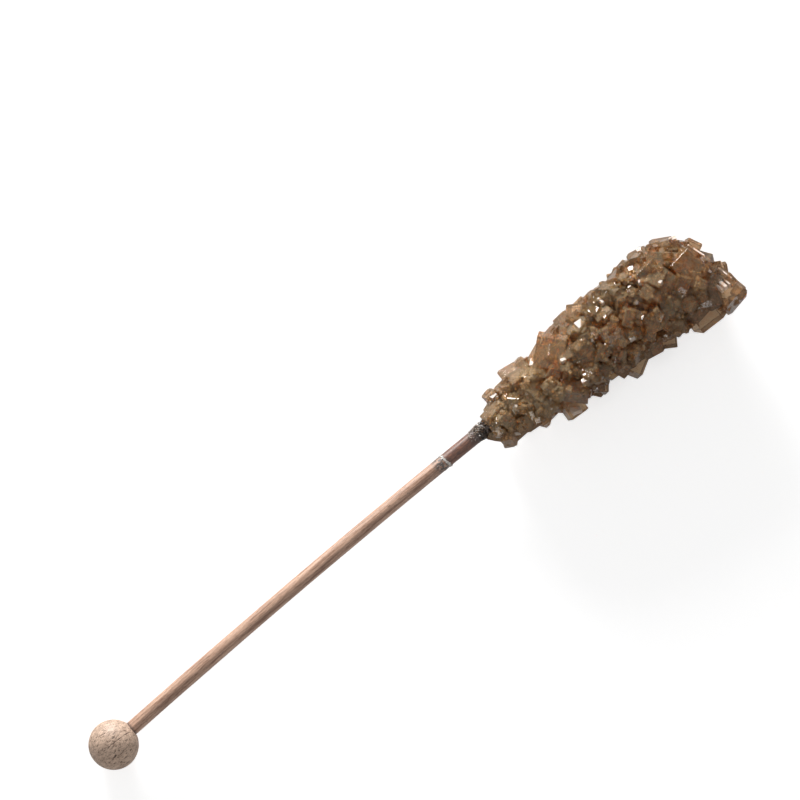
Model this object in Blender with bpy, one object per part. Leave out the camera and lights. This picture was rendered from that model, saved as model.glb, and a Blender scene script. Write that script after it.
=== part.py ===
"""Rock candy stick: a wooden ball and stick with a club of brown sugar crystals.

The stick lies down. It runs along +X, with the ball at -X and the sugar at +X,
and rests at z = 0 on a flat spot of the ball and on the sugar's lowest corners.
Lengths below are in millimetres, stations are measured from the ball's centre.
"""

import math
from dataclasses import dataclass

import bmesh
import bpy
import numpy as np
from mathutils import Matrix, Vector

MM = 0.001
WELD_DISTANCE = 0.00001
OBJECT_NAME = "rock_candy_stick"

# Ball and stick
BALL_RADIUS = 5.5
BALL_FLAT_DEPTH = 0.1
BALL_SEGMENTS = 32
BALL_RINGS = 16
STICK_RADIUS = 1.6
STICK_START = -1.5
STICK_END = 157.6
STICK_POINTS = 20
STICK_BOW = 1.6
GAP = 0.3
SHARP_ANGLE = math.radians(40.0)

# The block under z = 0 that cuts the flat spots
FLOOR_CUTTER_SIZE = (340.0, 100.0, 20.0)

# The rising line that the stick and the sugar follow
LINE_LENGTH = 167.6
LINE_RISE_PER_MM = 0.0278

# The sugar's outer form
NECK = 104.6
SUGAR_END = 166.0
CLUB_BOW = 0.7
CLUB_RADIUS = 9.1
CLUB_SWELL = 17.0
CLUB_POWER = 0.8
SHOULDER = 156.6
CORE_SHARE = 0.84
CORE_NECK_RADIUS = 2.15
CORE_END_GAP = 3.0
CORE_SECTIONS = 15
CORE_SIDES = 12
CORE_RIPPLE = 0.06
CORE_RIPPLES_ROUND = 3.0
CORE_RIPPLE_STEP = 0.9

# The crystals
SEED = 47
GROWN_CRYSTALS = 150
FIRST_CRYSTAL = NECK + 1.5
LAST_CRYSTAL = SUGAR_END - 0.2
SURFACE_STEPS = 400
SLOPE_STEP = 0.3
GOLDEN_ANGLE = math.pi * (3.0 - math.sqrt(5.0))
NECK_CRYSTAL = 2.4
END_CRYSTAL = 4.4
SIZE_SPREAD = 0.28
SHAPE_SPREAD = 0.22
MOST_TILT = math.radians(42.0)
SUNK_SHARE = 0.30
CORNER_CUT = 0.20
LEAN = math.tan(math.radians(13.0))

# Colours (linear) and finishes
BALL_COLOUR = (0.56, 0.42, 0.30)
STICK_COLOUR = (0.42, 0.28, 0.18)
WOOD_ROUGHNESS = 0.6
SUGAR_COLOUR = (0.25, 0.15, 0.08)
SUGAR_ROUGHNESS = 0.15
SUGAR_TRANSMISSION = 0.4


@dataclass(frozen=True)
class Block:
    """One of the large crystals, placed from the sugar's line.

    across is positive to the left of the stick seen from the ball, turn is the
    angle from +X seen from above, tip rolls the block round its own length.
    """

    station: float
    across: float
    above: float
    size: tuple[float, float, float]
    turn: float
    tip: float = 0.0


LARGE_BLOCKS = [
    # The side that stands to the right of the stick
    Block(106.9, -1.8, 0.3, (3.2, 1.8, 2.2), -45.0, 15.0),
    Block(108.5, -4.6, 0.5, (2.6, 2.4, 2.4), 60.0, 20.0),
    Block(112.0, -3.2, 0.0, (6.4, 3.6, 4.0), 2.0, 30.0),
    Block(117.5, -4.9, 0.0, (4.2, 3.6, 3.6), 36.0, 10.0),
    Block(123.9, -6.2, 0.5, (4.6, 6.9, 4.4), -4.0, 6.0),
    Block(131.2, -7.6, -0.5, (3.6, 3.4, 3.6), 51.0, 12.0),
    Block(140.3, -7.5, -0.5, (6.4, 6.2, 5.4), 29.0, 8.0),
    Block(145.2, -7.3, 1.0, (4.6, 4.6, 4.4), -11.0, 25.0),
    Block(151.6, -7.0, 0.0, (4.8, 4.2, 4.4), -8.0, 30.0),
    Block(158.5, -9.7, -0.5, (7.0, 5.2, 5.6), -2.0, 18.0),
    # The side that stands to the left of the stick
    Block(111.5, 5.2, 1.0, (2.8, 2.8, 2.8), 5.0, 25.0),
    Block(116.2, 3.6, 1.5, (6.0, 5.0, 4.6), 4.0, 24.0),
    Block(121.0, 6.2, 0.5, (3.0, 3.4, 3.2), 20.0, 10.0),
    Block(127.5, 4.1, 3.6, (8.2, 6.6, 6.4), 42.0, -12.0),
    Block(131.3, 6.8, 0.5, (3.4, 3.6, 3.6), 10.0, 20.0),
    Block(135.6, 6.6, 0.5, (4.4, 3.6, 4.4), -28.0, 15.0),
    Block(143.4, 6.9, 0.8, (4.8, 4.2, 4.6), 2.0, 12.0),
    Block(151.0, 7.1, 0.0, (4.2, 4.0, 4.2), 12.0, 20.0),
    Block(155.5, 7.4, 0.5, (4.8, 4.6, 4.8), -12.0, 28.0),
    Block(160.5, 6.1, 1.0, (5.4, 5.0, 5.4), -30.0, 20.0),
    # The blunt end
    Block(161.8, 0.3, 2.6, (8.6, 7.2, 7.4), -72.0, 14.0),
    Block(165.6, 3.2, -0.5, (3.2, 3.4, 3.4), 25.0, 10.0),
    Block(166.3, -4.7, 0.0, (4.2, 4.0, 4.4), 60.0, 15.0),
    Block(165.2, -8.7, 0.8, (6.2, 7.2, 7.0), 10.0, -16.0),
]


def clear_scene() -> None:
    """Remove every object that the file opens with."""
    for old in list(bpy.data.objects):
        bpy.data.objects.remove(old, do_unlink=True)


def new_collection(name: str) -> bpy.types.Collection:
    """Make a collection under the scene's own."""
    collection = bpy.data.collections.new(name)
    bpy.context.scene.collection.children.link(collection)
    return collection


def principled(name: str, colour: tuple[float, float, float], roughness: float,
               transmission: float = 0.0) -> bpy.types.Material:
    """Make a plain Principled material."""
    material = bpy.data.materials.new(name)
    material.use_nodes = True
    shader = material.node_tree.nodes["Principled BSDF"]
    shader.inputs["Base Color"].default_value = (*colour, 1.0)
    shader.inputs["Roughness"].default_value = roughness
    shader.inputs["Metallic"].default_value = 0.0
    shader.inputs["Transmission Weight"].default_value = transmission
    return material


def arc_point(station: float, bow: float) -> Vector:
    """Give a place on a shallow arc that climbs from the ball's centre."""
    share = station / LINE_LENGTH
    across = 4.0 * bow * share * (1.0 - share)
    height = BALL_RADIUS - BALL_FLAT_DEPTH + LINE_RISE_PER_MM * station
    return Vector((station, across, height))


def stick_point(station: float) -> Vector:
    """Give the place of the stick's own line."""
    return arc_point(station, STICK_BOW)


def club_point(station: float) -> Vector:
    """Give the place of the sugar's line, which bows less than the stick's."""
    return arc_point(station, CLUB_BOW)


def club_radius(station: float) -> float:
    """Give the sugar's outer radius: swelling from the neck, rounded at the end."""
    swell = 1.0 - math.exp(-max(station - NECK, 0.0) / CLUB_SWELL)
    radius = CLUB_RADIUS * swell ** CLUB_POWER
    if station > SHOULDER:
        past = min((station - SHOULDER) / (SUGAR_END - SHOULDER), 1.0)
        radius *= math.sqrt(1.0 - past * past)
    return radius


def add_object(name: str, mesh: bpy.types.Mesh,
               collection: bpy.types.Collection) -> bpy.types.Object:
    """Put a mesh into a collection as an object."""
    made = bpy.data.objects.new(name, mesh)
    collection.objects.link(made)
    return made


def mark_as_cutter(made: bpy.types.Object) -> None:
    """Keep a helper shape out of the finished object."""
    made.hide_render = True
    made.display_type = "WIRE"


def add_tube(name: str, radius: float, start: float, end: float,
             collection: bpy.types.Collection) -> bpy.types.Object:
    """Make a round bar along the stick's line as a closed mesh."""
    curve = bpy.data.curves.new(name + "_curve", "CURVE")
    curve.dimensions = "3D"
    curve.bevel_depth = radius * MM
    curve.bevel_resolution = 2
    curve.use_fill_caps = True
    spline = curve.splines.new("POLY")
    spline.points.add(STICK_POINTS - 1)
    for index, station in enumerate(np.linspace(start, end, STICK_POINTS)):
        spline.points[index].co = (*(stick_point(float(station)) * MM), 1.0)
    carrier = add_object(name + "_curve", curve, collection)
    bpy.context.view_layer.update()
    graph = bpy.context.evaluated_depsgraph_get()
    mesh = bpy.data.meshes.new_from_object(carrier.evaluated_get(graph))
    weld = bmesh.new()
    weld.from_mesh(mesh)
    bmesh.ops.remove_doubles(weld, verts=weld.verts, dist=WELD_DISTANCE)
    bmesh.ops.recalc_face_normals(weld, faces=weld.faces)
    weld.to_mesh(mesh)
    weld.free()
    made = add_object(name, mesh, collection)
    made.matrix_world = carrier.matrix_world
    bpy.data.objects.remove(carrier, do_unlink=True)
    return made


def add_boolean(target: bpy.types.Object, operation: str,
                other: bpy.types.Object | bpy.types.Collection) -> None:
    """Join or cut a piece with a helper object or a collection of them."""
    modifier = target.modifiers.new(operation.title(), "BOOLEAN")
    modifier.operation = operation
    modifier.solver = "EXACT"
    if isinstance(other, bpy.types.Collection):
        modifier.operand_type = "COLLECTION"
        modifier.collection = other
    else:
        modifier.object = other


def add_floor_cutter(collection: bpy.types.Collection) -> bpy.types.Object:
    """Make the block under z = 0 that gives the flat spots to rest on."""
    slab = bmesh.new()
    bmesh.ops.create_cube(slab, size=1.0)
    bmesh.ops.scale(slab, vec=Vector(FLOOR_CUTTER_SIZE) * MM, verts=slab.verts)
    middle = Vector((0.5 * LINE_LENGTH, 0.0, -0.5 * FLOOR_CUTTER_SIZE[2])) * MM
    bmesh.ops.translate(slab, vec=middle, verts=slab.verts)
    mesh = bpy.data.meshes.new("floor_cutter")
    slab.to_mesh(mesh)
    slab.free()
    cutter = add_object("floor_cutter", mesh, collection)
    mark_as_cutter(cutter)
    return cutter


def add_ball(collection: bpy.types.Collection) -> bpy.types.Object:
    """Make the wooden ball round the stick's first end."""
    shape = bmesh.new()
    bmesh.ops.create_uvsphere(shape, u_segments=BALL_SEGMENTS, v_segments=BALL_RINGS,
                              radius=BALL_RADIUS * MM)
    bmesh.ops.translate(shape, vec=stick_point(0.0) * MM, verts=shape.verts)
    mesh = bpy.data.meshes.new("wood_ball")
    shape.to_mesh(mesh)
    shape.free()
    mesh.shade_smooth()
    mesh.set_sharp_from_angle(angle=SHARP_ANGLE)
    return add_object("wood_ball", mesh, collection)


def core_ring(number: int, station: float) -> list[Vector]:
    """Give the corners of one ring of the core, with a slow ripple round it."""
    base = max(CORE_SHARE * club_radius(station), CORE_NECK_RADIUS)
    half_turn = 0.5 * (number % 2)
    corners = []
    for side in range(CORE_SIDES):
        angle = 2.0 * math.pi * (side + half_turn) / CORE_SIDES
        wave = math.sin(CORE_RIPPLES_ROUND * angle + CORE_RIPPLE_STEP * number)
        reach = base * (1.0 + CORE_RIPPLE * wave)
        offset = Vector((0.0, reach * math.cos(angle), reach * math.sin(angle)))
        corners.append((club_point(station) + offset) * MM)
    return corners


def add_core(collection: bpy.types.Collection) -> bpy.types.Object:
    """Make the uneven body of fused sugar that the crystals stand on.

    Rings of a closed club are joined by Blender's bridge tool and capped.
    """
    shape = bmesh.new()
    rings = []
    stations = np.linspace(NECK, SUGAR_END - CORE_END_GAP, CORE_SECTIONS).tolist()
    for number, station in enumerate(stations):
        corners = [shape.verts.new(place) for place in core_ring(number, station)]
        rings.append([shape.edges.new((corners[k - 1], corners[k])) for k in range(CORE_SIDES)])
    for first, second in zip(rings, rings[1:]):
        bmesh.ops.bridge_loops(shape, edges=first + second)
    bmesh.ops.contextual_create(shape, geom=rings[0])
    bmesh.ops.contextual_create(shape, geom=rings[-1])
    bmesh.ops.recalc_face_normals(shape, faces=shape.faces)
    mesh = bpy.data.meshes.new("rock_candy")
    shape.to_mesh(mesh)
    shape.free()
    return add_object("rock_candy", mesh, collection)


def add_crystal(name: str, placing: Matrix, size: tuple[float, float, float],
                collection: bpy.types.Collection) -> None:
    """Make one sugar crystal: a leaning block with two long edges cut off."""
    shape = bmesh.new()
    bmesh.ops.create_cube(shape, size=1.0)
    cut_edges = []
    for edge in shape.edges:
        middle = edge.verts[0].co + edge.verts[1].co
        if middle.x * middle.z > 0.5:
            cut_edges.append(edge)
    bmesh.ops.bevel(shape, geom=cut_edges, offset=CORNER_CUT, segments=1, affect="EDGES")
    lean = Matrix.Identity(4)
    lean[0][2] = LEAN
    scale = Matrix.Diagonal((*(side * MM for side in size), 1.0))
    bmesh.ops.transform(shape, matrix=placing @ scale @ lean, verts=shape.verts)
    mesh = bpy.data.meshes.new(name)
    shape.to_mesh(mesh)
    shape.free()
    mark_as_cutter(add_object(name, mesh, collection))


def add_large_blocks(collection: bpy.types.Collection) -> None:
    """Make the large crystals that are placed one by one."""
    for number, block in enumerate(LARGE_BLOCKS):
        place = club_point(block.station) + Vector((0.0, block.across, block.above))
        placing = (Matrix.Translation(place * MM)
                   @ Matrix.Rotation(math.radians(block.turn), 4, "Z")
                   @ Matrix.Rotation(math.radians(block.tip), 4, "X"))
        add_crystal(f"large_block_{number}", placing, block.size, collection)


def grown_stations() -> list[float]:
    """Spread the grown crystals' stations so that each has the same surface."""
    fine = np.linspace(FIRST_CRYSTAL, LAST_CRYSTAL, SURFACE_STEPS)
    radii = np.array([club_radius(float(station)) for station in fine])
    slope = np.gradient(radii, fine)
    area = np.cumsum(radii * np.sqrt(1.0 + slope ** 2))
    shares = (np.arange(GROWN_CRYSTALS) + 0.5) / GROWN_CRYSTALS
    return np.interp(shares, area / area[-1], fine).tolist()


def club_outward(station: float, around: Vector) -> Vector:
    """Give the direction that points straight out of the club's surface."""
    rise = club_radius(station + SLOPE_STEP) - club_radius(station - SLOPE_STEP)
    slope = rise / (2.0 * SLOPE_STEP)
    return (around - slope * Vector((1.0, 0.0, 0.0))).normalized()


def add_grown_crystals(collection: bpy.types.Collection) -> None:
    """Grow crystals all round the core on a spiral, larger towards the end."""
    chance = np.random.default_rng(SEED)
    for number, station in enumerate(grown_stations()):
        angle = number * GOLDEN_ANGLE
        around = Vector((0.0, math.cos(angle), math.sin(angle)))
        outward = club_outward(station, around)
        grown = (station - NECK) / (SUGAR_END - NECK)
        mean = NECK_CRYSTAL + (END_CRYSTAL - NECK_CRYSTAL) * grown
        mean *= math.exp(SIZE_SPREAD * chance.standard_normal())
        size = tuple((mean * np.exp(SHAPE_SPREAD * chance.standard_normal(3))).tolist())
        surface = club_point(station) + club_radius(station) * around
        place = surface - SUNK_SHARE * mean * outward
        placing = (Matrix.Translation(place * MM)
                   @ outward.to_track_quat("Z", "X").to_matrix().to_4x4()
                   @ Matrix.Rotation(chance.uniform(0.0, 2.0 * math.pi), 4, "Z")
                   @ Matrix.Rotation(chance.uniform(0.0, MOST_TILT), 4, "X"))
        add_crystal(f"grown_{number}", placing, size, collection)


def shell_of(start: bmesh.types.BMVert) -> set[bmesh.types.BMVert]:
    """Collect the corners that are joined to one corner by edges."""
    shell = {start}
    waiting = [start]
    while waiting:
        corner = waiting.pop()
        for edge in corner.link_edges:
            other = edge.other_vert(corner)
            if other not in shell:
                shell.add(other)
                waiting.append(other)
    return shell


def fuse_crystals(candy: bpy.types.Object, crystals: bpy.types.Collection) -> None:
    """Join the crystals to the core and fill the pin-sized voids shut in between."""
    add_boolean(candy, "UNION", crystals)
    bpy.context.view_layer.update()
    graph = bpy.context.evaluated_depsgraph_get()
    fused = bpy.data.meshes.new_from_object(candy.evaluated_get(graph))
    fused.name = candy.name
    candy.modifiers.clear()
    shape = bmesh.new()
    shape.from_mesh(fused)
    outer = shell_of(max(shape.verts, key=lambda corner: corner.co.z))
    voids = [corner for corner in shape.verts if corner not in outer]
    bmesh.ops.delete(shape, geom=voids, context="VERTS")
    shape.to_mesh(fused)
    shape.free()
    candy.data = fused


def centre_on_footprint(pieces: list[bpy.types.Object]) -> None:
    """Hang the pieces on an empty that puts the box's bottom centre at the origin."""
    bpy.context.view_layer.update()
    graph = bpy.context.evaluated_depsgraph_get()
    corners = []
    for piece in pieces:
        mesh = piece.evaluated_get(graph).to_mesh()
        places = np.empty(3 * len(mesh.vertices), dtype=np.float32)
        mesh.vertices.foreach_get("co", places)
        corners.append(places.reshape(-1, 3))
    every = np.concatenate(corners)
    middle = 0.5 * (every.min(axis=0) + every.max(axis=0))
    root = bpy.data.objects.new(OBJECT_NAME, None)
    bpy.context.scene.collection.objects.link(root)
    root.location = (-float(middle[0]), -float(middle[1]), 0.0)
    for made in bpy.data.objects:
        if made is not root:
            made.parent = root


def main() -> None:
    """Build the three pieces of the rock candy stick."""
    clear_scene()
    parts = new_collection(OBJECT_NAME)
    cutters = new_collection("cutters")
    crystals = new_collection("crystals")

    ball = add_ball(parts)
    stick = add_tube("wood_stick", STICK_RADIUS, STICK_START, STICK_END, parts)
    stick.data.shade_smooth()
    stick.data.set_sharp_from_angle(angle=SHARP_ANGLE)
    candy = add_core(parts)

    hole = add_tube("ball_hole", STICK_RADIUS + GAP, STICK_START - GAP, 3.0 * BALL_RADIUS, cutters)
    bore = add_tube("candy_bore", STICK_RADIUS + GAP, NECK - 20.0, STICK_END + GAP, cutters)
    mark_as_cutter(hole)
    mark_as_cutter(bore)
    floor = add_floor_cutter(cutters)

    add_large_blocks(crystals)
    add_grown_crystals(crystals)

    add_boolean(ball, "DIFFERENCE", hole)
    add_boolean(ball, "DIFFERENCE", floor)
    fuse_crystals(candy, crystals)
    add_boolean(candy, "DIFFERENCE", bore)
    add_boolean(candy, "DIFFERENCE", floor)

    ball.data.materials.append(principled("pale_beech", BALL_COLOUR, WOOD_ROUGHNESS))
    stick.data.materials.append(principled("pink_beech", STICK_COLOUR, WOOD_ROUGHNESS))
    sugar = principled("brown_sugar", SUGAR_COLOUR, SUGAR_ROUGHNESS, SUGAR_TRANSMISSION)
    candy.data.materials.append(sugar)
    centre_on_footprint([ball, stick, candy])


main()
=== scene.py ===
"""Looks of a rock candy stick: a turned wooden ball, a stained stick and a club of brown sugar.

Shapes are worked out in millimetres and put into the meshes in metres. A station is a
distance along +X from the ball's centre. The sugar is a core of fused sugar under clear
crystals: large blocks, thin plates on their sides, and small and fine blocks in patches.
"""

import itertools
import logging
import math
from dataclasses import dataclass, field
from enum import Enum

import bpy
import numpy as np
from mathutils import Matrix, Vector


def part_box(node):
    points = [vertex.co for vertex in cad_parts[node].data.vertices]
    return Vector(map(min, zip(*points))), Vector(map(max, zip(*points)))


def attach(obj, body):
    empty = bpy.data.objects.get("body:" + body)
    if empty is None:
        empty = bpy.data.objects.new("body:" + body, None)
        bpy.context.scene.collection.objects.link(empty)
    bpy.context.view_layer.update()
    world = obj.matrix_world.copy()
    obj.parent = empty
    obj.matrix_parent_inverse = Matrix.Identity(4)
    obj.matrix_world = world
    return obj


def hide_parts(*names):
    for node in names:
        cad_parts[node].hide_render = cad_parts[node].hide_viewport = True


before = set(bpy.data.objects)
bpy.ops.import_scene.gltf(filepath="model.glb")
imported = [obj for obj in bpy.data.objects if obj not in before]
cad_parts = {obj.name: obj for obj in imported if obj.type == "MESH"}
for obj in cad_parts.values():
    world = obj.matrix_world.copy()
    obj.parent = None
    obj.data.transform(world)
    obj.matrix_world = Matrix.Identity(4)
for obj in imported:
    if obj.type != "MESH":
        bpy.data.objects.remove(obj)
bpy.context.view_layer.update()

MM = 0.001
FULL_TURN = 2.0 * math.pi
GOLDEN_ANGLE = math.pi * (3.0 - math.sqrt(5.0))
BODY = "root"
SUGAR_NODE = "rock_candy"
STICK_BOW = 1.6
CLUB_BOW = 0.7

Array = np.ndarray
Colour = tuple[float, float, float]

log = logging.getLogger("rock_candy_stick")


class Slot(Enum):
    """The record's material slots."""

    BALL = "ball_wood"
    STICK = "stick_wood"
    SUGAR = "brown_sugar"


# ---------------------------------------------------------------- shared shapes


@dataclass(frozen=True)
class RisingArc:
    """A shallow arc that climbs from the ball's centre to the sugar's end, in millimetres."""

    start: tuple[float, float, float]
    bow: float
    length: float = 167.6
    rise: float = 0.0278

    def places(self, stations: Array) -> Array:
        """Give the arc's places: the bow is a parabola of the share of the length, the climb is straight.

        Args:
            stations: distances from the ball's centre, of any array shape.

        Returns:
            An array with one more axis, which holds X, Y and Z.
        """
        share = stations / self.length
        across = 4.0 * self.bow * share * (1.0 - share)
        return np.stack([stations, across, self.rise * stations], axis=-1) + np.array(self.start)

    def round_it(self, stations: Array, angles: Array, reach: Array) -> Array:
        """Give places at a reach from the arc: its place plus reach times (0, cos angle, sin angle).

        Args:
            stations: distances from the ball's centre.
            angles: turns round the arc from +Y towards +Z, of the same shape.
            reach: distances from the arc, of the same shape.

        Returns:
            An array with one more axis, which holds X, Y and Z.
        """
        spoke = np.stack([np.zeros_like(angles), np.cos(angles), np.sin(angles)], axis=-1)
        return self.places(stations) + reach[..., None] * spoke


@dataclass(frozen=True)
class SoftNoise:
    """Smooth random values from -1 to 1 that fill space and repeat after a cube of cells."""

    seed: int
    cells: int = 32

    def at(self, places: Array, step: float | tuple[float, float, float]) -> Array:
        """Blend the random numbers at a cell's eight corners by the smooth step 3t^2 - 2t^3.

        Args:
            places: points, with X, Y and Z on the last axis.
            step: the size of a cell, one number or one for each axis.

        Returns:
            One value for each point.
        """
        lattice = np.random.default_rng(self.seed).uniform(-1.0, 1.0, (self.cells,) * 3)
        scaled = places / np.asarray(step)
        cell = np.floor(scaled).astype(int)
        blend = scaled - cell
        blend = blend * blend * (3.0 - 2.0 * blend)
        total = np.zeros(places.shape[:-1])
        for corner in itertools.product((0, 1), repeat=3):
            weight = np.prod(np.where(corner, blend, 1.0 - blend), axis=-1)
            x, y, z = np.moveaxis((cell + corner) % self.cells, -1, 0)
            total += weight * lattice[x, y, z]
        return total


def tube_faces(rings: int, sides: int) -> Array:
    """Join rings of corners into four-sided faces that point outwards.

    Corner (ring, side) has the number ring * sides + side, and the last side meets the first.

    Args:
        rings: how many rings there are.
        sides: how many corners each ring has.

    Returns:
        The corners' numbers, (faces, 4).
    """
    ring, side = np.meshgrid(np.arange(rings - 1), np.arange(sides), indexing="ij")
    after = (side + 1) % sides
    here, above = ring * sides, (ring + 1) * sides
    return np.stack([here + side, here + after, above + after, above + side], axis=-1).reshape(-1, 4)


def cap_faces(sides: int, first: int, centre: int, at_start: bool) -> Array:
    """Close one end of a tube with three-sided faces that meet in a centre corner.

    Args:
        sides: how many corners the end ring has.
        first: the number of the ring's first corner.
        centre: the number of the centre corner.
        at_start: whether this is the tube's start, which turns the faces the other way.

    Returns:
        The corners' numbers, (sides, 3).
    """
    side = np.arange(sides)
    here, after = first + side, first + (side + 1) % sides
    middle = np.full(sides, centre)
    return np.stack([middle, after, here] if at_start else [middle, here, after], axis=-1)


def closed_tube(grid: Array) -> tuple[Array, list[Array]]:
    """Turn a grid of (rings, sides, 3) places into a tube whose two ends are closed by a pole.

    Each pole is the mean place of its end ring.

    Args:
        grid: the places, ring after ring from the start to the end.

    Returns:
        The corners and the faces.
    """
    rings, sides = grid.shape[:2]
    corners = np.concatenate([grid.reshape(-1, 3), grid[[0, -1]].mean(axis=1)])
    count = rings * sides
    faces = [
        tube_faces(rings, sides),
        cap_faces(sides, 0, count, at_start=True),
        cap_faces(sides, count - sides, count + 1, at_start=False),
    ]
    return corners, faces


def with_poles(values: Array) -> Array:
    """Add the two poles' values to a grid's, as the mean over each end ring."""
    flat = values.reshape(-1, *values.shape[2:])
    return np.concatenate([flat, values[[0, -1]].mean(axis=1)])


@dataclass
class Piece:
    """A finished mesh on its way into the scene, in millimetres."""

    name: str
    corners: Array
    faces: list[Array]
    smooth: bool = True
    marks: dict[str, Array] = field(default_factory=dict)

    def place(self, material: bpy.types.Material, slot: Slot, replaces: str) -> bpy.types.Object:
        """Make the object at the origin, with its place in its mesh, and hang it on the frame.

        Args:
            material: the finish of the whole piece.
            slot: the record's slot that the finish stands for; not used.
            replaces: the frame's node that the piece stands for.

        Returns:
            The object.
        """
        mesh = bpy.data.meshes.new(self.name)
        faces = [face for block in self.faces for face in block.tolist()]
        mesh.from_pydata((self.corners * MM).tolist(), [], faces)
        mesh.polygons.foreach_set("use_smooth", np.full(len(mesh.polygons), self.smooth))
        for label, values in self.marks.items():
            kind, key = ("FLOAT", "value") if values.ndim == 1 else ("FLOAT_VECTOR", "vector")
            mark = mesh.attributes.new(label, kind, "POINT")
            mark.data.foreach_set(key, values.astype(np.float32).ravel())
        mesh.materials.append(material)
        mesh.update()
        made = bpy.data.objects.new(self.name, mesh)
        bpy.context.scene.collection.objects.link(made)
        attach(made, BODY)
        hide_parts(replaces)
        log.info("%s: %d faces", self.name, len(mesh.polygons))
        return made


def add_chamfer(made: bpy.types.Object, width: float) -> None:
    """Chamfer every edge of a piece.

    Args:
        made: the piece's object.
        width: the chamfer's width in millimetres.
    """
    bevel = made.modifiers.new("Chamfer", "BEVEL")
    bevel.width = width * MM
    bevel.segments = 1
    bevel.limit_method = "NONE"


# ---------------------------------------------------------------- finishes


class Board:
    """A material's node tree, with short ways to add nodes and join them."""

    def __init__(self, name: str) -> None:
        """Start a material with an empty Principled surface.

        Args:
            name: the material's name.
        """
        self.material = bpy.data.materials.new(name)
        self.material.use_nodes = True
        self.tree = self.material.node_tree
        self.shader = self.tree.nodes["Principled BSDF"]

    def add(self, kind: str, inputs: dict[str | int, object] | None = None,
            **settings: object) -> bpy.types.Node:
        """Add a node, set its properties and feed its sockets.

        Args:
            kind: the node's type.
            inputs: values or other sockets, by the name or number of the socket they go to.
            **settings: the node's own properties.

        Returns:
            The node.
        """
        node = self.tree.nodes.new(kind)
        for key, value in settings.items():
            setattr(node, key, value)
        for key, value in (inputs or {}).items():
            self.feed(node.inputs[key], value)
        return node

    def feed(self, socket: bpy.types.NodeSocket, value: object) -> None:
        """Join another socket to this one, or set its value.

        Args:
            socket: the input socket.
            value: an output socket, or the value itself.
        """
        if isinstance(value, bpy.types.NodeSocket):
            self.tree.links.new(value, socket)
        else:
            socket.default_value = value

    def mark(self, name: str, output: str = "Fac") -> bpy.types.NodeSocket:
        """Read one of the mesh's own values."""
        return self.add("ShaderNodeAttribute", attribute_name=name).outputs[output]

    def object_mm(self) -> bpy.types.NodeSocket:
        """Give the place on the object in millimetres."""
        return self.stretched(self.add("ShaderNodeTexCoord").outputs["Object"], (1.0 / MM,) * 3)

    def stretched(self, vector: bpy.types.NodeSocket,
                  stretch: tuple[float, float, float]) -> bpy.types.NodeSocket:
        """Scale a pattern's place along each axis."""
        return self.add("ShaderNodeMapping", {"Vector": vector, "Scale": stretch}).outputs["Vector"]

    def noise(self, vector: bpy.types.NodeSocket, scale: float, detail: float = 3.0,
              roughness: float = 0.5) -> bpy.types.NodeSocket:
        """Give a soft noise from 0 to 1."""
        inputs = {"Vector": vector, "Scale": scale, "Detail": detail, "Roughness": roughness}
        return self.add("ShaderNodeTexNoise", inputs).outputs["Fac"]

    def math(self, operation: str, first: object, second: object = 0.0,
             clamp: bool = False) -> bpy.types.NodeSocket:
        """Give the result of one sum, held between 0 and 1 where clamp is set."""
        numbers = {0: first, 1: second}
        return self.add("ShaderNodeMath", numbers, operation=operation, use_clamp=clamp).outputs[0]

    def spread(self, value: object, low: float, high: float, to_low: float = 0.0,
               to_high: float = 1.0) -> bpy.types.NodeSocket:
        """Carry a range of values on to another, and hold it at the ends."""
        inputs = {"Value": value, "From Min": low, "From Max": high, "To Min": to_low, "To Max": to_high}
        return self.add("ShaderNodeMapRange", inputs).outputs["Result"]

    def mix(self, share: object, first: object, second: object) -> bpy.types.NodeSocket:
        """Blend two colours.

        Args:
            share: how much of the second colour there is, from 0 to 1.
            first: a colour or a socket.
            second: a colour or a socket.

        Returns:
            The blend's socket.
        """
        node = self.add("ShaderNodeMix", data_type="RGBA")
        factor, left, right = (node.inputs[number] for number in (0, 6, 7))
        for socket, value in zip((factor, left, right), (share, first, second)):
            self.feed(socket, (*value, 1.0) if isinstance(value, tuple) else value)
        return node.outputs[2]

    def ramp(self, value: object, stops: list[tuple[float, Colour]]) -> bpy.types.NodeSocket:
        """Give the colour at a value between named stops.

        Args:
            value: the value's socket, from 0 to 1.
            stops: the stops' places and colours, lowest first.

        Returns:
            The colour's socket.
        """
        node = self.add("ShaderNodeValToRGB", {"Fac": value})
        elements = node.color_ramp.elements
        while len(elements) < len(stops):
            elements.new(0.5)
        for element, (position, colour) in zip(elements, stops):
            element.position = position
            element.color = (*colour, 1.0)
        return node.outputs["Color"]

    def bump(self, height: object, depth: float, strength: float = 1.0) -> None:
        """Give the surface a relief of the named depth in millimetres."""
        inputs = {"Height": height, "Distance": depth * MM, "Strength": strength}
        self.feed(self.shader.inputs["Normal"], self.add("ShaderNodeBump", inputs).outputs["Normal"])

    def finish(self, **values: object) -> bpy.types.Material:
        """Feed the shader's sockets and give the material.

        Args:
            **values: colours, numbers or sockets, each named as its socket with underscores for spaces.

        Returns:
            The material.
        """
        for key, value in values.items():
            socket = self.shader.inputs[key.replace("_", " ")]
            self.feed(socket, (*value, 1.0) if isinstance(value, tuple) else value)
        return self.material


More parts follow.
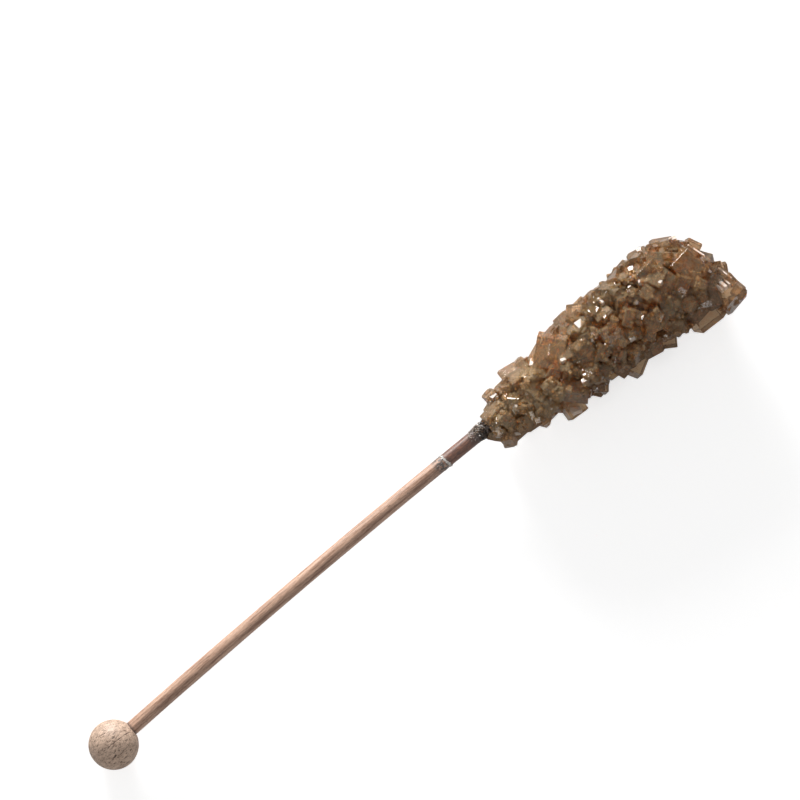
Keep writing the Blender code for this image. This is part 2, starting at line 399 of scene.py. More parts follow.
@dataclass(frozen=True)
class BallFinish:
    """Bare pale beech, sanded, with short dark pores and a few fine cracks."""

    pale: Colour = (0.84, 0.61, 0.46)
    brown: Colour = (0.42, 0.285, 0.205)
    pore: Colour = (0.10, 0.06, 0.04)
    tick: Colour = (0.22, 0.135, 0.09)
    roughness: float = 0.55

    def material(self) -> bpy.types.Material:
        """Build the finish: mottled along the grain, ticked, and dark where the mesh marks a pore.

        Returns:
            The material.
        """
        board = Board("pale_beech")
        grain = board.mark("grain", "Vector")
        mottle = board.noise(board.stretched(grain, (0.5, 1.2, 1.2)), 1.0, 4.0, 0.6)
        fleck = board.noise(board.stretched(grain, (1.6, 7.0, 7.0)), 1.0, 3.0, 0.6)
        share = board.math("ADD", board.math("MULTIPLY", mottle, 0.6), board.math("MULTIPLY", fleck, 0.4))
        wood = board.mix(board.spread(share, 0.36, 0.62), self.brown, self.pale)
        ticks = board.noise(board.stretched(grain, (1.5, 4.6, 4.6)), 1.0, 1.0, 0.5)
        wood = board.mix(board.spread(ticks, 0.56, 0.70, 0.0, 0.8), wood, self.tick)
        dark = board.spread(board.mark("pore"), 0.08, 0.62)
        wood = board.mix(dark, wood, self.pore)
        board.bump(fleck, 0.06, 0.5)
        return board.finish(Base_Color=wood, Roughness=self.roughness, Specular_IOR_Level=0.7)


@dataclass(frozen=True)
class StickFinish:
    """Pinkish beech with fine streaks, soaked dark red and then black towards the sugar."""

    pale: Colour = (0.76, 0.475, 0.325)
    brown: Colour = (0.27, 0.125, 0.068)
    fibre: Colour = (0.10, 0.042, 0.022)
    joint: Colour = (0.06, 0.032, 0.022)
    soaked: Colour = (0.060, 0.017, 0.008)
    half_soaked: Colour = (0.27, 0.105, 0.052)
    black: Colour = (0.05, 0.028, 0.018)
    blotch: Colour = (0.10, 0.072, 0.06)
    blotch_start: float = 91.8
    soak_start: float = 95.3
    black_start: float = 101.0
    roughness: float = 0.42
    joint_end: float = 5.3
    # Painted shade: a darker line along the stick at Y = -0.55, on the side away from the lamp
    painted_shade_line: float = 0.55

    def material(self) -> bpy.types.Material:
        """Build the finish: streaks along the grain, and two stains whose edges follow the fibres.

        The wood is darker at the ball, and a painted shade darkens one line near its top. Before the
        white ring it is blotched, past the ring it is soaked with syrup, and at the neck it is black.

        Returns:
            The material.
        """
        board = Board("pink_beech")
        grain = board.mark("grain", "Vector")
        streak = board.noise(board.stretched(grain, (0.10, 2.2, 2.2)), 1.0, 4.0, 0.6)
        fibre = board.noise(board.stretched(grain, (0.75, 3.3, 3.3)), 1.0, 3.0, 0.65)
        share = board.math("ADD", board.math("MULTIPLY", streak, 0.6), board.math("MULTIPLY", fibre, 0.4))
        axes = board.add("ShaderNodeSeparateXYZ", {"Vector": grain}).outputs
        station = axes["X"]
        # Painted shade: the wood is a little darker along one line of the stick
        beside = board.math("ABSOLUTE", board.math("ADD", axes["Y"], self.painted_shade_line))
        share = board.math("SUBTRACT", share, board.spread(beside, 0.2, 0.8, 0.07, 0.0))
        wood = board.mix(board.spread(share, 0.38, 0.58), self.brown, self.pale)
        wood = board.mix(board.spread(fibre, 0.57, 0.70, 0.0, 0.8), wood, self.fibre)
        at_joint = board.spread(station, self.joint_end, self.joint_end + 0.6, 0.8, 0.0)
        wood = board.mix(at_joint, wood, self.joint)
        ragged = board.math("ADD", station, board.spread(fibre, 0.3, 0.7, -0.5, 0.5))
        wet = board.spread(ragged, self.soak_start - 0.3, self.soak_start + 0.3)
        wet_wood = board.mix(board.spread(fibre, 0.35, 0.62), self.soaked, self.half_soaked)
        spots = board.spread(board.noise(grain, 1.5, 3.0, 0.6), 0.42, 0.52)
        near_ring = board.spread(ragged, self.blotch_start, self.blotch_start + 1.2)
        wood = board.mix(board.math("MULTIPLY", spots, near_ring), wood, self.blotch)
        wood = board.mix(wet, wood, wet_wood)
        wood = board.mix(board.spread(ragged, self.black_start, self.black_start + 3.0), wood, self.black)
        board.bump(fibre, 0.05, 0.6)
        return board.finish(Base_Color=wood, Roughness=self.roughness, Specular_IOR_Level=1.0, IOR=1.62)


@dataclass(frozen=True)
class SugarFinish:
    """Brown sugar: clear or milky, paler at the neck, and greyer far out at the sides as painted light.

    clear is the share of light that goes through, lightness moves the tone, and relief is
    the depth of the etching in millimetres.
    """

    name: str
    clear: float
    dark: Colour = (0.40, 0.175, 0.07)
    middle: Colour = (1.0, 0.54, 0.205)
    pale: Colour = (1.0, 0.75, 0.44)
    # Painted light: the pale grey of the crystals far out at the sides
    painted_side_grey: Colour = (0.74, 0.49, 0.30)
    pale_length: float = 24.0
    lightness: float = 0.0
    roughness: float = 0.03
    relief: float = 0.04
    index: float = 1.54

    def material(self, neck: float, tip: float) -> bpy.types.Material:
        """Build the finish, whose tone adds up the crystal's own, its place's and a cloudiness.

        The tone falls fast over the neck and slowly from there to the tip. As painted light and
        shade it rises with Y, towards the lamp, and falls with Y at the tip. The mesh gives the
        crystal's own tone, darkened deep between crystals by a painted shade, and how far beside
        the line it lies: far out, the colour turns to a painted pale grey.

        Args:
            neck: X of the sugar's start in millimetres.
            tip: X of the sugar's end in millimetres.

        Returns:
            The material.
        """
        board = Board(self.name)
        place = board.object_mm()
        axes = board.add("ShaderNodeSeparateXYZ", {"Vector": place}).outputs
        along = board.math("ADD", board.spread(axes["X"], neck, neck + self.pale_length, 0.22, 0.0),
                           board.spread(axes["X"], neck, tip, 0.10, -0.16))
        # Painted light and shade: paler towards +Y, the lamp's side, and the other way near the tip
        across = board.math("MULTIPLY", board.spread(axes["Y"], -8.0, 10.0, -0.02, 0.20),
                            board.spread(axes["X"], tip - 24.0, tip - 4.0, 1.0, -0.8))
        cloud = board.noise(place, 1.1, 5.0, 0.7)
        tone = board.math("ADD", board.mark("tone"), board.math("ADD", along, across))
        tone = board.math("ADD", tone, board.spread(cloud, 0.3, 0.7, -0.7, 0.7))
        tone = board.math("ADD", tone, self.lightness, clamp=True)
        colour = board.ramp(tone, [(0.0, self.dark), (0.5, self.middle), (1.0, self.pale)])
        # Painted light: far beside the line the colour turns to a pale grey
        colour = board.mix(board.spread(board.mark("beside"), 0.86, 1.10, 0.0, 0.65), colour, self.painted_side_grey)
        etched = board.noise(place, 3.2, 2.0, 0.5)
        board.bump(etched, self.relief, 0.5)
        rough = board.spread(cloud, 0.4, 0.75, self.roughness, self.roughness + 0.15)
        return board.finish(Base_Color=colour, Roughness=rough, IOR=self.index,
                            Transmission_Weight=self.clear)


@dataclass(frozen=True)
class CrustFinish:
    """Burnt syrup: nearly black brown, glossy in places."""

    dark: Colour = (0.018, 0.010, 0.006)
    brown: Colour = (0.12, 0.065, 0.035)

    def material(self) -> bpy.types.Material:
        """Build the finish from one noise that turns dark brown to lighter brown.

        Returns:
            The material.
        """
        board = Board("burnt_syrup")
        cloud = board.noise(board.object_mm(), 1.8, 4.0, 0.6)
        colour = board.mix(board.spread(cloud, 0.45, 0.72), self.dark, self.brown)
        board.bump(cloud, 0.15, 0.6)
        return board.finish(Base_Color=colour, Roughness=0.25)


@dataclass(frozen=True)
class GrainFinish:
    """Loose grains of sugar, from grey brown to white."""

    dull: Colour = (0.33, 0.24, 0.17)
    white: Colour = (0.95, 0.92, 0.88)

    def material(self) -> bpy.types.Material:
        """Build the finish, whose colour is each grain's own tone.

        Returns:
            The material.
        """
        board = Board("white_sugar_grains")
        colour = board.mix(board.mark("tone"), self.dull, self.white)
        return board.finish(Base_Color=colour, Roughness=0.2, Transmission_Weight=0.25, IOR=1.54)


# ---------------------------------------------------------------- ball


# The cracks and the largest pores on top, as X, Y, half length, half width, strength and turn
CRACKS = [
    (3.9, 0.06, 1.60, 0.10, 0.9, -0.09), (2.1, 0.22, 1.20, 0.10, 0.9, -0.05),
    (0.5, 0.32, 0.90, 0.10, 0.9, 0.0), (-0.8, 0.27, 0.80, 0.11, 0.8, 0.08),
    (-2.1, 0.33, 0.70, 0.10, 0.7, -0.12), (-1.25, -2.17, 0.80, 0.15, 1.0, 0.10),
    (-0.95, -3.88, 0.42, 0.15, 1.0, 0.22), (-0.55, -4.35, 0.30, 0.13, 0.9, 0.15),
    (-1.05, -4.75, 0.30, 0.13, 0.9, 0.1), (-0.5, -1.35, 0.35, 0.12, 0.9, 0.3),
    (0.35, -1.7, 0.30, 0.13, 0.9, 0.9), (1.1, -2.4, 0.35, 0.10, 0.7, 0.2),
]


@dataclass
class WoodBall:
    """The turned ball: a sphere drilled for the stick, with a flat spot where it rests."""

    low: Vector
    high: Vector
    # The drilled hole and its rounded rim
    hole_radius: float = 1.66
    hole_depth: float = 7.0
    rim: float = 0.18
    # The mesh
    rings: int = 190
    sides: int = 320
    rim_points: int = 8
    wall_points: int = 6
    # The pores, and the least and the greatest of their sizes and strengths
    pores: int = 620
    pore_halves: tuple[float, float] = (0.15, 0.55)
    pore_widths: tuple[float, float] = (0.07, 0.13)
    pore_strengths: tuple[float, float] = (0.2, 0.9)
    pore_turn: float = 0.15
    pore_depth: float = 0.10
    # A soft wave over the whole surface
    wave_depth: float = 0.02
    wave_step: tuple[float, float, float] = (2.4, 1.5, 1.5)
    seed: int = 5

    @property
    def radius(self) -> float:
        """Half the width of the frame's ball."""
        return 0.5 * (self.high.y - self.low.y) / MM

    @property
    def centre(self) -> tuple[float, float, float]:
        """The ball's centre, from its left, near and top extremes."""
        middle = 0.5 * (self.high.y + self.low.y) / MM
        return self.low.x / MM + self.radius, middle, self.high.z / MM - self.radius

    def profile(self) -> tuple[Array, Array]:
        """Give the turned outline from the far pole to the bottom of the hole.

        A circle of the ball's radius runs to the hole's rim, a small quarter turn rounds the
        rim, and a straight wall goes down the hole.

        Returns:
            The distances along and from the ball's axis.
        """
        open_angle = math.asin((self.hole_radius + self.rim) / self.radius)
        polar = np.linspace(math.pi, open_angle, self.rings)[1:]
        along, out = self.radius * np.cos(polar), self.radius * np.sin(polar)
        bend = np.linspace(0.5 * math.pi, math.pi, self.rim_points)[1:]
        edge_along = along[-1] - self.rim + self.rim * np.sin(bend)
        edge_out = self.hole_radius + self.rim + self.rim * np.cos(bend)
        wall = np.linspace(edge_along[-1], self.radius - self.hole_depth, self.wall_points)[1:]
        return (np.concatenate([along, edge_along, wall]),
                np.concatenate([out, edge_out, np.full(len(wall), self.hole_radius)]))

    def pore_marks(self, places: Array) -> Array:
        """Give how deep in a pore or crack each place is, from 0 to 1.

        Each mark is a soft ellipse that follows the sphere, long along the grain: 1 - (along /
        half length)^2 - (sideways / half width)^2, less a large number on the ball's far side,
        and the deepest mark counts.

        Args:
            places: points from the ball's centre.

        Returns:
            One value for each point.
        """
        chance = np.random.default_rng(self.seed)
        spots = chance.standard_normal((self.pores, 3)) * (0.7, 1.0, 1.0)
        spots *= self.radius / np.linalg.norm(spots, axis=1, keepdims=True)
        halves = chance.uniform(*self.pore_halves, self.pores)
        widths = chance.uniform(*self.pore_widths, self.pores)
        strengths = chance.uniform(*self.pore_strengths, self.pores)
        turns = chance.normal(0.0, self.pore_turn, self.pores)
        x, y, crack_halves, crack_widths, crack_strengths, crack_turns = np.array(CRACKS).T
        high = np.sqrt(np.maximum(self.radius ** 2 - x ** 2 - y ** 2, 0.0))
        spots = np.concatenate([spots, np.stack([x, y, high], axis=1)])
        halves = np.concatenate([halves, crack_halves])
        widths = np.concatenate([widths, crack_widths])
        strengths = np.concatenate([strengths, crack_strengths])
        turns = np.concatenate([turns, crack_turns])
        deepest = np.zeros(places.shape[:-1])
        for spot, half, width, strength, turn in zip(spots, halves, widths, strengths, turns):
            up = spot / np.linalg.norm(spot)
            fibre = np.array((math.cos(turn), math.sin(turn), 0.0))
            fibre -= up * (up @ fibre)
            fibre /= np.linalg.norm(fibre)
            along, beside = places @ fibre, places @ np.cross(up, fibre)
            mark = 1.0 - (along / half) ** 2 - (beside / width) ** 2 - 9.0 * (places @ up < 0.0)
            deepest = np.maximum(deepest, strength * np.clip(mark, 0.0, 1.0))
        return deepest

    def build(self) -> Piece:
        """Turn the profile round the stick's axis, sink the pores and flatten the resting spot.

        Returns:
            The ball, which carries its grain and its pores for the finish.
        """
        along, out = self.profile()
        angles = np.arange(self.sides) * FULL_TURN / self.sides
        stations, turn = np.meshgrid(along, angles, indexing="ij")
        reach = np.repeat(out[:, None], self.sides, axis=1)
        local = np.stack([stations, reach * np.cos(turn), reach * np.sin(turn)], axis=-1)
        on_sphere = np.linalg.norm(local, axis=-1) > self.radius - self.rim
        pore = np.where(on_sphere, self.pore_marks(local), 0.0)
        wave = SoftNoise(self.seed).at(local, self.wave_step)
        depth = self.pore_depth * pore - self.wave_depth * wave * on_sphere
        local *= (1.0 - depth / self.radius)[..., None]
        places = local + np.array(self.centre)
        places[..., 2] = np.maximum(places[..., 2], 0.0)
        corners, faces = closed_tube(places)
        marks = {"grain": with_poles(local), "pore": with_poles(pore)}
        return Piece("wooden_ball", corners, faces, True, marks)


# ---------------------------------------------------------------- stick


@dataclass
class WoodStick:
    """The round stick: a bowed dowel with fine flutes along its fibres."""

    line: RisingArc
    radius: float = 1.6
    start: float = -1.5
    end: float = 157.6
    # How deep the flutes are, how much the radius wanders, and how long both are along the grain
    flute: float = 0.035
    flute_step: tuple[float, float, float] = (9.0, 0.28, 0.28)
    wander: float = 0.03
    wander_step: tuple[float, float, float] = (14.0, 3.0, 3.0)
    rings: int = 640
    sides: int = 64
    seed: int = 11

    def build(self) -> Piece:
        """Sweep a circle along the line, its radius changed by noise that is long along the grain.

        Returns:
            The stick, which carries its straight grain for the finish.
        """
        stations, angles = np.meshgrid(np.linspace(self.start, self.end, self.rings),
                                       np.arange(self.sides) * FULL_TURN / self.sides, indexing="ij")
        straight = np.stack([stations, self.radius * np.cos(angles), self.radius * np.sin(angles)], axis=-1)
        flutes = SoftNoise(self.seed).at(straight, self.flute_step)
        bends = SoftNoise(self.seed + 1).at(straight, self.wander_step)
        reach = self.radius + self.flute * np.minimum(flutes, 0.0) + self.wander * bends
        grid = self.line.round_it(stations, angles, reach)
        corners, faces = closed_tube(grid)
        return Piece("wooden_stick", corners, faces, True, {"grain": with_poles(straight)})


# ---------------------------------------------------------------- sugar


@dataclass(frozen=True)
class Block:
    """One of the large crystals, placed from the sugar's line in millimetres and degrees."""

    station: float
    across: float
    above: float
    size: tuple[float, float, float]
    turn: float
    tip: float = 0.0


LARGE_BLOCKS = [
    # The side that stands to the right of the stick
    Block(106.9, -1.8, 0.3, (3.2, 1.8, 2.2), -45.0, 15.0),
    Block(108.5, -4.6, 0.5, (2.6, 2.4, 2.4), 60.0, 20.0),
    Block(112.0, -3.2, 0.0, (6.4, 3.6, 4.0), 2.0, 30.0),
    Block(117.5, -4.9, 0.0, (4.2, 3.6, 3.6), 36.0, 10.0),
    Block(123.9, -6.2, 0.5, (4.6, 6.9, 4.4), -4.0, 6.0),
    Block(131.2, -7.6, -0.5, (3.6, 3.4, 3.6), 51.0, 12.0),
    Block(140.3, -7.5, -0.5, (6.4, 6.2, 5.4), 29.0, 8.0),
    Block(145.2, -7.3, 1.0, (4.6, 4.6, 4.4), -11.0, 25.0),
    Block(151.6, -7.0, 0.0, (4.8, 4.2, 4.4), -8.0, 30.0),
    Block(158.5, -9.7, -0.5, (7.0, 5.2, 5.6), -2.0, 18.0),
    # The side that stands to the left of the stick
    Block(111.5, 5.2, 1.0, (2.8, 2.8, 2.8), 5.0, 25.0),
    Block(116.2, 3.6, 1.5, (6.0, 5.0, 4.6), 4.0, 24.0),
    Block(121.0, 6.2, 0.5, (3.0, 3.4, 3.2), 20.0, 10.0),
    Block(127.5, 4.1, 3.6, (8.2, 6.6, 6.4), 42.0, -12.0),
    Block(131.3, 6.8, 0.5, (3.4, 3.6, 3.6), 10.0, 20.0),
    Block(135.6, 6.6, 0.5, (4.4, 3.6, 4.4), -28.0, 15.0),
    Block(143.4, 6.9, 0.8, (4.8, 4.2, 4.6), 2.0, 12.0),
    Block(151.0, 7.1, 0.0, (4.2, 4.0, 4.2), 12.0, 20.0),
    Block(155.5, 7.4, 0.5, (4.8, 4.6, 4.8), -12.0, 28.0),
    Block(160.5, 6.1, 1.0, (5.4, 5.0, 5.4), -30.0, 20.0),
    # The blunt end
    Block(161.8, 0.3, 2.6, (8.6, 7.2, 7.4), -72.0, 14.0),
    Block(165.6, 3.2, -0.5, (3.2, 3.4, 3.4), 25.0, 10.0),
    Block(166.3, -4.7, 0.0, (4.2, 4.0, 4.4), 60.0, 15.0),
    Block(165.2, -8.7, 0.8, (6.2, 7.2, 7.0), 10.0, -16.0),
]

# More crystals on the blunt end, which come after the grown ones
EXTRA_BLOCKS = [
    Block(163.2, -11.1, 2.0, (2.6, 2.0, 2.6), 32.0, 30.0),
    Block(165.4, -11.6, 1.2, (1.9, 1.7, 2.0), -20.0, 10.0),
    Block(167.2, -10.9, 2.6, (2.3, 2.2, 2.4), 14.0, 34.0),
    Block(167.6, -7.6, 3.0, (1.9, 3.2, 2.2), 4.0, 12.0),
    Block(164.4, -6.0, 4.2, (3.4, 3.0, 2.4), 38.0, 18.0),
    Block(161.6, -8.6, 3.4, (3.0, 3.4, 2.6), -14.0, 22.0),
]

# Places, as station, across and radius, where no small crystals stand: dips of the outline
# and the clean faces of the crystals that stand out
BARE_SPOTS = [
    (135.0, -9.0, 1.9), (149.2, -10.6, 1.6), (120.3, -5.9, 1.3), (137.5, 10.0, 1.1),
    (166.8, 5.3, 1.1), (127.8, 5.2, 3.3), (165.2, -8.0, 3.2), (123.9, -6.6, 2.4),
    (153.0, -3.0, 1.3), (161.5, 0.8, 3.0), (147.0, -4.6, 1.4),
]


@dataclass(frozen=True)
class Glint:
    """A facet that faces half way to the lamp, placed from the ball's centre; its pale finish is a painted
    highlight.

    heading is the turn of its length from +X in degrees, and tilt is how far it leans towards it.
    """

    station: float
    across: float
    length: float
    width: float
    heading: float
    tilt: float = 0.0


# Facets set to reflect the lamp; their pale finish paints a highlight on them, and the three side by side
# at the blunt end make a striped sheen
GLINTS = [
    Glint(112.0, 6.0, 1.5, 1.2, 20.0),
    Glint(123.2, 6.1, 1.9, 1.2, 48.0),
    Glint(136.3, 6.0, 1.8, 2.0, 4.0),
    Glint(143.0, 7.0, 0.5, 1.8, 10.0),
    Glint(151.6, 6.6, 1.0, 2.2, 25.0),
    Glint(153.0, 4.3, 2.8, 0.8, -32.0),
    Glint(143.0, -3.4, 1.3, 0.9, 0.0),
    Glint(128.6, 2.3, 1.3, 0.8, -15.0),
    Glint(155.4, 1.9, 0.9, 0.7, 30.0),
    Glint(114.4, 1.1, 0.5, 0.9, 0.0),
    Glint(110.9, -3.4, 1.4, 0.6, -30.0),
    Glint(163.6, 7.4, 1.6, 0.9, -20.0),
    Glint(165.9, 2.2, 0.35, 5.0, 16.0),
    Glint(167.6, -5.6, 0.3, 4.4, 12.0),
    Glint(164.5, -6.6, 0.5, 3.6, 10.0, 9.0),
    Glint(165.5, -6.4, 0.8, 4.2, 10.0, 9.0),
    Glint(166.5, -6.6, 0.4, 4.0, 10.0, 9.0),
    Glint(124.0, -7.4, 2.2, 2.6, -4.0, 12.0),
]


@dataclass
class Crystals:
    """Many crystals at once: leaning blocks with two opposite long edges cut off.

    frames turn a unit block into the crystal: a point u of the block lies at place + frame u.
    """

    places: Array
    frames: Array
    tones: Array
    cuts: Array

    @classmethod
    def grow(cls, places: Array, turns: Array, sides: Array, tones: Array, lean: float,
             cut: float | Array) -> "Crystals":
        """Make crystals of the given sides: frame = turn x sides x lean, where lean moves X by Z.

        Args:
            places: the centres, (n, 3).
            turns: the crystals' own axes as columns, (n, 3, 3).
            sides: their three sides, (n, 3).
            tones: how pale each is, (n,).
            lean: how far X moves for each unit of Z.
            cut: the share of a side that the cut edges take off, one for all or one for each.

        Returns:
            The crystals.
        """
        leaning = np.eye(3)
        leaning[0, 2] = lean
        cuts = np.broadcast_to(cut, len(places)).astype(float)
        return cls(places, turns * sides[:, None, :] @ leaning, tones, cuts)

    @classmethod
    def join(cls, groups: list["Crystals"]) -> "Crystals":
        """Put several groups of crystals one after the other."""
        names = ("places", "frames", "tones", "cuts")
        return cls(*(np.concatenate([getattr(group, name) for group in groups]) for name in names))

    def pick(self, keep: Array) -> "Crystals":
        """Keep the crystals that a mask or a list of numbers names."""
        return Crystals(self.places[keep], self.frames[keep], self.tones[keep], self.cuts[keep])

    def corners(self) -> Array:
        """Give each crystal's twelve corners, (n, 12, 3).

        The unit block's outline in X and Z is a square that loses the corners where X and Z
        have the same sign; it stands at Y = -0.5 and again at Y = 0.5.

        Returns:
            The corners in millimetres.
        """
        count, cut = len(self.places), self.cuts
        half = np.full(count, 0.5)
        x = np.stack([half, half, half - cut, -half, -half, cut - half], axis=1)
        z = np.stack([-half, half - cut, half, half, cut - half, -half], axis=1)
        unit = np.empty((count, 12, 3))
        unit[:, :6, 0], unit[:, 6:, 0] = x, x
        unit[:, :6, 1], unit[:, 6:, 1] = -0.5, 0.5
        unit[:, :6, 2], unit[:, 6:, 2] = z, z
        return self.places[:, None, :] + np.einsum("nij,nkj->nki", self.frames, unit)

    def faces(self) -> list[Array]:
        """Give the six long faces and the two ends of every crystal, pointing outwards.

        Returns:
            The corners' numbers: the long faces, (6 n, 4), and the ends, (2 n, 6).
        """
        step = np.arange(6)
        after = (step + 1) % 6
        walls = np.stack([step, step + 6, after + 6, after], axis=1)
        ends = np.stack([step, step[::-1] + 6])
        first = 12 * np.arange(len(self.places))[:, None, None]
        return [(first + walls).reshape(-1, 4), (first + ends).reshape(-1, 6)]

    def hold(self, points: Array, margin: float = 0.0) -> Array:
        """Say which points lie inside any crystal.

        A point is inside when its unit place u has |x|, |y| and |z| under a half and |x + z|
        under one less the cut.

        Args:
            points: the points, (m, 3).
            margin: how far under the surface a point has to be, as a share of a side.

        Returns:
            A mask with one value for each point.
        """
        inverse = np.linalg.inv(self.frames)
        inside = np.zeros(len(points), bool)
        for place, back, cut in zip(self.places, inverse, self.cuts):
            unit = (points - place) @ back.T
            slanted = np.abs(unit[:, 0] + unit[:, 2])
            inside |= (np.abs(unit).max(axis=1) < 0.5 - margin) & (slanted < 1.0 - cut - margin)
        return inside

    def surface(self, count: int, chance: np.random.Generator) -> tuple[Array, Array]:
        """Pick random points on the blocks' six sides, as many on each as its area asks.

        Args:
            count: how many points.
            chance: the random numbers' source.

        Returns:
            The points and the outward directions there.
        """
        columns = np.moveaxis(self.frames, -1, 0)
        pairs = [(1, 2), (2, 0), (0, 1)]
        crosses = np.stack([np.cross(columns[a], columns[b]) for a, b in pairs], axis=1)
        areas = np.linalg.norm(crosses, axis=-1)
        drawn = chance.choice(areas.size, count, p=(areas / areas.sum()).ravel())
        number, axis = drawn // 3, drawn % 3
        sign = chance.choice([-1.0, 1.0], count)
        unit = chance.uniform(-0.5, 0.5, (count, 3))
        unit[np.arange(count), axis] = 0.5 * sign
        outward = crosses[number, axis] / areas[number, axis][:, None] * sign[:, None]
        points = self.places[number] + np.einsum("nij,nj->ni", self.frames[number], unit)
        return points, outward

    def piece(self, name: str) -> Piece:
        """Join the crystals into one mesh that carries each crystal's tone, flat where it rests.

        Args:
            name: the piece's name.

        Returns:
            The piece.
        """
        corners = self.corners().reshape(-1, 3)
        corners[:, 2] = np.maximum(corners[:, 2], 0.0)
        return Piece(name, corners, self.faces(), False, {"tone": np.repeat(self.tones, 12)})


def axis_turns(outward: Array, spin: Array, tilt: Array) -> Array:
    """Give axes whose Z points outwards, turned about it by spin and then tipped about X by tilt.

    Two directions square to Z come from cross products with the world axis that is least
    along it; the turns are then Rz(spin) and Rx(tilt), applied in the crystal's own axes.

    Args:
        outward: the directions, (n, 3).
        spin: angles, (n,).
        tilt: angles, (n,).

    Returns:
        Matrices with the crystal's axes as columns, (n, 3, 3).
    """
    helper = np.where(np.abs(outward[:, :1]) < 0.8, [[1.0, 0.0, 0.0]], [[0.0, 1.0, 0.0]])
    side = np.cross(helper, outward)
    side /= np.linalg.norm(side, axis=1, keepdims=True)
    base = np.stack([side, np.cross(outward, side), outward], axis=-1)
    zero, one = np.zeros(len(spin)), np.ones(len(spin))
    turn = np.stack([np.cos(spin), -np.sin(spin), zero, np.sin(spin), np.cos(spin), zero, zero, zero, one],
                    axis=-1).reshape(-1, 3, 3)
    tip = np.stack([one, zero, zero, zero, np.cos(tilt), -np.sin(tilt), zero, np.sin(tilt), np.cos(tilt)],
                   axis=-1).reshape(-1, 3, 3)
    return base @ turn @ tip


@dataclass(frozen=True)
class Scatter:
    """How one size of small crystal is strewn over the larger ones.

    count is how many places are tried, mean the crystals' mean side in millimetres, and spread
    how much their sides differ, as the spread of the logarithm. Sideways of the reach fewer and
    fewer stand. tilt is the largest lean from the outward direction, tones holds the lowest and
    the highest tone, and sunk is how deep each centre lies, as a share of the crystal.
    """

    count: int
    mean: float
    spread: float
    reach: float
    tilt: float
    tones: tuple[float, float]
    sunk: float
    seed: int


SMALL = Scatter(3600, 2.1, 0.35, 0.98, 0.45, (0.0, 0.8), 0.3, 91)
FINE = Scatter(24000, 0.6, 0.4, 1.0, 0.9, (-0.6, 1.4), 0.1, 92)


